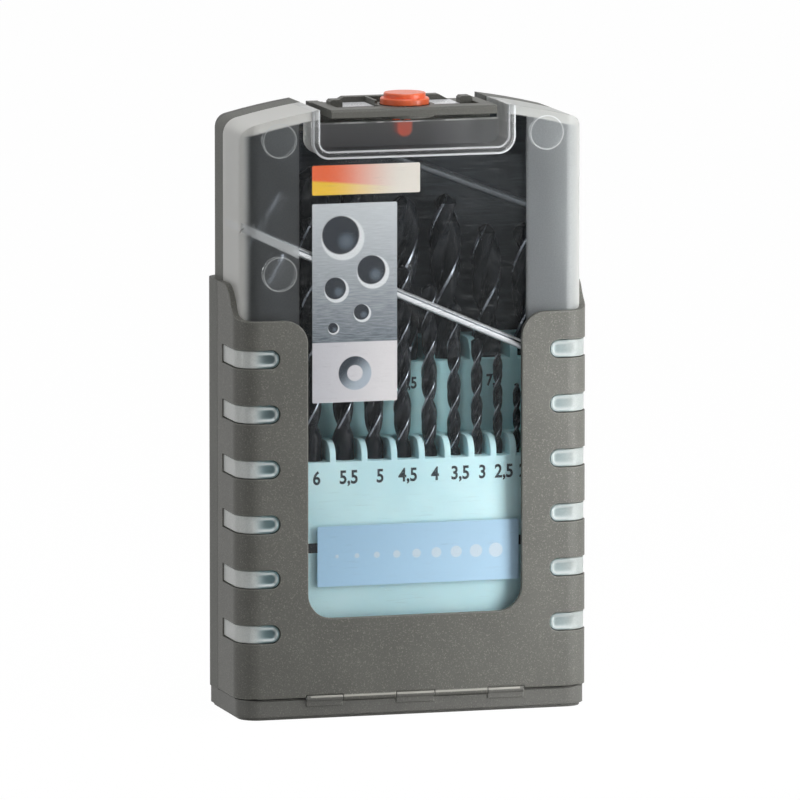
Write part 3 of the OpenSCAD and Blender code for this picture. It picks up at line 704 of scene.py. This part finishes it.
def printed(name, area, material):
    """A printed area on the film's back: a very thin plate with rounded corners."""
    x0, x1, z0, z1 = area
    r = PRINT_CORNER
    front = []
    corners = [(x1 - r, z1 - r), (x0 + r, z1 - r), (x0 + r, z0 + r), (x1 - r, z0 + r)]
    for quarter, (cx, cz) in enumerate(corners):
        for k in range(5):
            a = math.radians(90 * quarter + 90 * k / 4)
            front.append((cx + r * math.cos(a), PRINT_Y, cz + r * math.sin(a)))
    back = [(x, PRINT_Y + PRINT_T, z) for x, _, z in front]
    n = len(front)
    faces = [tuple(range(n)), tuple(reversed(range(n, 2 * n)))]
    faces += [(k, k + n, (k + 1) % n + n, (k + 1) % n) for k in range(n)]
    mesh_object(name, front + back, faces, [material], "door", smooth=False)


def strip_print():
    """Warm band that fades from orange to cream, with a yellow wedge along its foot."""
    m = Material("warm_print", Specular_IOR_Level=0.3)
    along = m.ramp(m.xyz()[0], STRIP[0] * MM, STRIP[1] * MM, smooth=False)
    wedge = m.falls(m.over_line(0.09, 133.1), 0, 0.8)
    warm = m.mix(wedge, srgb(252, 108, 52), srgb(255, 206, 50))
    base = m.mix(m.ramp(along, 0.12, 0.85), warm, srgb(238, 232, 222))
    fine = m.noise(2500, 2)
    m.set("Base Color", m.mix(m.spread(fine, 0, 0.06), base, srgb(255, 250, 240)))
    m.set("Roughness", m.spread(fine, 0.35, 0.45))
    return m


# The picture's generic motifs: bored holes (x, z, radius), which grow upwards, over a field with a ring
HOLES = [(-20.6, 98.6, 1.3), (-13.2, 102.4, 2.0), (-20.0, 108.6, 2.8), (-10.6, 113.0, 3.7),
         (-18.6, 122.0, 4.9)]
PLATE_Z = 95.0
RING_X, RING_Z, RING_R = -14.9, 87.0, 4.4


def bored_plate(m):
    """Brushed steel with round holes, each with a lit rim to the lower right and a soft glow inside."""
    brushed = m.noise(700, 3, 0.6, m.stretched(0.4, 1, 6))
    height = m.ramp(m.xyz()[2], PLATE_Z * MM, PICTURE[3] * MM, smooth=False)
    plate = m.mix(height, srgb(88, 98, 108), srgb(206, 212, 216))
    plate = m.mix(m.ramp(brushed, 0.35, 0.65, 0, 0.22), plate, srgb(232, 238, 242))
    for x, z, r in HOLES:
        lit = m.disc(x + 0.12 * r, z - 0.16 * r, r * 1.08, r * 1.2, 0.85)
        glow = m.disc(x + 0.3 * r, z - 0.34 * r, r * 0.1, r * 0.62, 0.5)
        plate = m.mix(lit, plate, srgb(240, 244, 246))
        plate = m.mix(m.disc(x, z, r * 0.94, r * 1.04), plate, srgb(34, 40, 48))
        plate = m.mix(glow, plate, srgb(120, 134, 148))
    return plate


def ring_field(m):
    """Pale field with a steel ring, which is dark at its upper left."""
    x, _, z = m.xyz()
    field = m.mix(m.rises(x, -26, -4), srgb(206, 206, 212), srgb(226, 224, 226))
    ring = m.ring(RING_X, RING_Z, RING_R * 0.42, RING_R * 0.5, RING_R * 0.94, RING_R)
    middle = RING_X - RING_Z
    across = m.rises(m.math("SUBTRACT", x, z), middle - RING_R, middle + RING_R)
    return m.mix(ring, field, m.mix(across, srgb(42, 50, 60), srgb(176, 188, 200)))


def picture_print():
    """Generic picture: bored holes in a brushed steel plate over a pale field with a ring."""
    m = Material("picture_print", Specular_IOR_Level=0.3)
    base = m.mix(m.rises(m.xyz()[2], PLATE_Z - 0.2, PLATE_Z), ring_field(m), bored_plate(m))
    fine = m.noise(2500, 2)
    m.set("Base Color", m.mix(m.spread(fine, 0, 0.05), base, srgb(30, 34, 40)))
    m.set("Roughness", m.spread(fine, 0.32, 0.42))
    return m


# The band's dots: how many, the first one's place and radius, and the steps to the next
DOTS = 9
DOT_X, DOT_Z, DOT_R = -19.6, 40.6, 0.35
DOT_PITCH, DOT_GROWTH = 5.2, 0.17


def band_print():
    """Pale blue band with a row of dots that grow from left to right."""
    m = Material("band_print", Specular_IOR_Level=0.3)
    x, _, z = m.xyz()
    fine = m.noise(1500, 2)
    base = m.mix(m.rises(x, -25, 28), srgb(178, 220, 250), srgb(188, 226, 252))
    base = m.mix(m.spread(fine, 0, 0.1), base, srgb(200, 222, 240))
    for k in range(DOTS):
        r = DOT_R + DOT_GROWTH * k
        base = m.mix(m.disc(DOT_X + DOT_PITCH * k, DOT_Z, r, r + 0.2, 0.75), base, srgb(226, 238, 248))
    m.set("Base Color", base)
    m.set("Roughness", m.spread(fine, 0.35, 0.45))
    m.set("Alpha", m.ramp(z, BAND[2] * MM, BAND[3] * MM, 0.88, 0.8, smooth=False))
    return m


printed("print_strip", STRIP, strip_print())
printed("print_picture", PICTURE, picture_print())
printed("print_band", BAND, band_print())


# ---------------------------------------------------------------- grip pads

# The sleeve's slots, and the pads in them: round end, back end, half width and how far they stand out
SLOT_Z, SLOT_PITCH, SLOTS = 22.0, 13.92, 6
PAD_IN, PAD_BACK, PAD_HALF, PAD_OUT = 35.28, -0.06, 2.34, 1.15
PAD_ROUND, PAD_HOLLOW = 0.6, 0.5
# The cover's plan from the pad's round end: a flat stretch and a quarter turn
FLAT = COVER_W - COVER_R - PAD_IN
QUARTER = math.pi / 2 * COVER_R
PAD_LENGTH = FLAT + QUARTER + (PAD_BACK - COVER_FRONT - COVER_R)


def pad_material():
    """The cover's milky plastic on its pads: clearer in front, painted darker in the hollow and along the
    lower edge as painted shade, with a painted highlight round the outline, and the left pads painted lighter
    than the right.
    """
    m = Material("grip_pad", IOR=1.45)
    wide = m.wide()
    grain = m.noise(MILKY_GRAIN, 3, 0.6)
    front = m.all(m.falls(wide, 37.5, 42.5), m.by_side(1.0, 0.3))
    # how far a place is from the pad's middle line, and from the centre of its round end
    pitch = SLOT_PITCH * MM
    step = m.math("DIVIDE", m.math("SUBTRACT", m.xyz()[2], SLOT_Z * MM), pitch)
    across = m.all(m.math("SUBTRACT", step, m.math("ROUND", step)), pitch)
    reach = m.hypot(across, m.most(m.math("SUBTRACT", (PAD_IN + PAD_HALF) * MM, wide), 0.0))
    # painted shade in the hollow and along the lower edge, and a painted highlight round the outline
    hollow = m.all(m.falls(reach, 0.7, 1.1), m.falls(wide, 38.5, 41.5))
    outline = m.all(m.between(reach, 1.0, 1.3, 1.6, 1.9), m.falls(wide, 39, 42.5), 0.85)
    lower = m.all(m.falls(across, -1.9, -1.3), m.falls(wide, 39, 42.5))

    # painted light: the left pads are painted lighter than the right ones
    tone = m.mix(m.spread(grain), m.by_side(srgb(222, 226, 223), srgb(178, 186, 184)),
                 m.by_side(srgb(238, 241, 239), srgb(192, 199, 197)))
    for mask, colour in (
            (m.all(front, 0.9), srgb(176, 214, 220)),
            (m.all(m.most(hollow, lower), m.by_side(0.6, 0.15)), srgb(96, 118, 124)),
            (outline, m.by_side(srgb(244, 249, 248), srgb(204, 211, 210)))):
        tone = m.mix(mask, tone, colour)
    m.set("Base Color", tone)
    m.set("Transmission Weight", m.blend(outline, m.blend(front, 0.2, 0.7), 0.1))
    m.set("Alpha", m.blend(outline, m.blend(front, 0.94, 0.7), 0.95))
    m.set("Roughness", m.spread(grain, 0.3, 0.38))
    m.bump(grain, 0.02, 0.05)
    return m


GRIP = pad_material()


def pad_path(u):
    """Point and outward direction on the cover's plan, u millimetres along from the pad's round end."""
    if u < FLAT:
        return PAD_IN + u, COVER_FRONT, 0.0, -1.0
    if u < FLAT + QUARTER:
        a = (u - FLAT) / COVER_R
        cx, cy = COVER_W - COVER_R, COVER_FRONT + COVER_R
        return cx + COVER_R * math.sin(a), cy - COVER_R * math.cos(a), math.sin(a), -math.cos(a)
    return COVER_W, COVER_FRONT + COVER_R + (u - FLAT - QUARTER), 1.0, 0.0


def pad_lift(u, across, half):
    """How far the pad stands out of the cover: rounded at its rim, and sunk in the hollow."""
    edge = min(half - across, max(0.02, u))
    lift = PAD_OUT * ease(0.5 + edge / PAD_ROUND) if edge > 0.001 else 0.0
    hollow = ease((u - 0.85) / 0.5) * ease((7.4 - u) / 2.6) * ease((PAD_HALF - 0.75 - across) / 0.5)
    return lift - PAD_HOLLOW * hollow


def grip_pad(side, k):
    """One raised pad of the cover, which fills a slot of the sleeve and wraps round the corner."""
    zc = SLOT_Z + SLOT_PITCH * k
    us = sorted({PAD_LENGTH * i / 56 for i in range(57)} | {0.06, 0.18, 0.35, 0.6, 0.9, 1.2})
    ladder = [0.2, 0.4, 0.6, 0.76, 0.88, 0.95, 0.985, 1]
    vs = [-v for v in reversed(ladder)] + [0] + ladder
    verts, faces = [], []
    for u in us:
        x, y, nx, ny = pad_path(u)
        half = math.sqrt(max(0.0, PAD_HALF ** 2 - max(0.0, PAD_HALF - u) ** 2))
        for v in vs:
            out = pad_lift(u, abs(v) * half, half)
            verts.append((side * (x + nx * out), y + ny * out, zc + v * half))
    n = len(vs)
    for i in range(len(us) - 1):
        for j in range(n - 1):
            quad = (i * n + j, (i + 1) * n + j, (i + 1) * n + j + 1, i * n + j + 1)
            faces.append(quad if side > 0 else tuple(reversed(quad)))
    name = "grip_pad_%s%d" % ("r" if side > 0 else "l", k + 1)
    ob = mesh_object(name, verts, faces, [GRIP], "door")
    ob.data.set_sharp_from_angle(angle=math.radians(50))


for hand in (-1, 1):
    for number in range(SLOTS):
        grip_pad(hand, number)


# ---------------------------------------------------------------- floor, light, camera

def seen_ray(tree):
    """One for the rays that show the backdrop: those of the camera, of metal and of glass."""
    path = tree.nodes.new("ShaderNodeLightPath").outputs
    out = path["Is Camera Ray"]
    for kind in ("Is Glossy Ray", "Is Transmission Ray"):
        more = tree.nodes.new("ShaderNodeMath")
        more.operation = "MAXIMUM"
        tree.links.new(out, more.inputs[0])
        tree.links.new(path[kind], more.inputs[1])
        out = more.outputs[0]
    return out


def mixed(tree, factor, plain, seen, surface):
    """Feeds a surface with the plain shader, or with the seen one where factor is one."""
    mix = tree.nodes.new("ShaderNodeMixShader")
    for socket, source in zip(mix.inputs, (factor, plain.outputs[0], seen.outputs[0])):
        tree.links.new(source, socket)
    tree.links.new(mix.outputs[0], surface.inputs["Surface"])


def stage_floor():
    """A white floor that keeps a soft shadow: nearly all glow where it is seen, and grey for the light."""
    me = bpy.data.meshes.new("floor")
    s = 3.0
    me.from_pydata([(-s, -s, 0), (s, -s, 0), (s, s, 0), (-s, s, 0)], [], [(0, 1, 2, 3)])
    ob = placed("floor", me)
    m = bpy.data.materials.new("floor")
    m.use_nodes = True
    t = m.node_tree
    t.nodes.remove(t.nodes["Principled BSDF"])
    diffuse = t.nodes.new("ShaderNodeBsdfDiffuse")
    diffuse.inputs["Color"].default_value = (0.55, 0.55, 0.55, 1)
    glow = t.nodes.new("ShaderNodeEmission")
    glow.inputs["Color"].default_value = (1, 1, 1, 1)
    glow.inputs["Strength"].default_value = 1.02
    share = t.nodes.new("ShaderNodeMath")
    share.operation = "MULTIPLY"
    t.links.new(seen_ray(t), share.inputs[0])
    share.inputs[1].default_value = 0.97
    mixed(t, share.outputs[0], diffuse, glow, t.nodes["Material Output"])
    me.materials.append(m)


def stage_world():
    """A dim world for the light, which shows white to the camera, to metal and to glass."""
    w = bpy.data.worlds.new("studio")
    bpy.context.scene.world = w
    w.use_nodes = True
    t = w.node_tree
    plain, white = t.nodes["Background"], t.nodes.new("ShaderNodeBackground")
    for shader, strength in ((plain, 0.09), (white, 1.0)):
        shader.inputs["Color"].default_value = (1, 1, 1, 1)
        shader.inputs["Strength"].default_value = strength
    mixed(t, seen_ray(t), plain, white, t.nodes["World Output"])


stage_floor()
stage_world()

AIM = (0, 0, 0.08)


def area_light(name, place, size, watts):
    """A lamp aimed at the middle of the case. Its place and size are in metres."""
    data = bpy.data.lights.new(name, "AREA")
    data.shape = "RECTANGLE"
    data.size, data.size_y = size
    data.energy = watts
    ob = placed(name, data)
    ob.location = place
    ob.rotation_mode = "QUATERNION"
    ob.rotation_quaternion = (Vector(AIM) - Vector(place)).to_track_quat("-Z", "Y")


area_light("key_right", (0.112, -0.101, 0.077), (0.06, 0.23), 0.31)
area_light("fill_left", (-0.6, -0.03, 0.14), (0.3, 0.4), 0.78)
area_light("top", (0.02, -0.12, 0.8), (0.5, 0.4), 2.6)
area_light("front", (0.5, -0.85, 0.3), (0.5, 0.4), 1.0)

# The photograph's view: 16 degrees to the left of the front, 7.9 up, from 3 m with a long lens
AZIMUTH, ELEVATION, DISTANCE = math.radians(-16), math.radians(7.9), 3.0
IMAGE_PX, PX_PER_MM = 800, 3.96
SENSOR_MM = 36
# The picture's middle: a height on the case's axis, and how many pixels right and up from there
LOOK_Z, SHIFT_PX = 77.5, (2, 1.5)


def stage_camera():
    """The camera, matched to the photograph."""
    away = Vector((math.sin(AZIMUTH) * math.cos(ELEVATION), -math.cos(AZIMUTH) * math.cos(ELEVATION),
                   math.sin(ELEVATION)))
    right = Vector((math.cos(AZIMUTH), math.sin(AZIMUTH), 0))
    up = right.cross(-away)
    middle = Vector((0, 0, LOOK_Z)) + (right * SHIFT_PX[0] + up * SHIFT_PX[1]) / PX_PER_MM
    data = bpy.data.cameras.new("camera")
    data.sensor_width = SENSOR_MM
    data.lens = PX_PER_MM / MM * DISTANCE / IMAGE_PX * SENSOR_MM
    data.clip_start, data.clip_end = 0.1, 20
    ob = placed("camera", data)
    ob.location = middle * MM + away * DISTANCE
    ob.rotation_mode = "QUATERNION"
    ob.rotation_quaternion = (-away).to_track_quat("-Z", "Y")
    bpy.context.scene.camera = ob


stage_camera()
bpy.context.scene.view_settings.view_transform = "Standard"
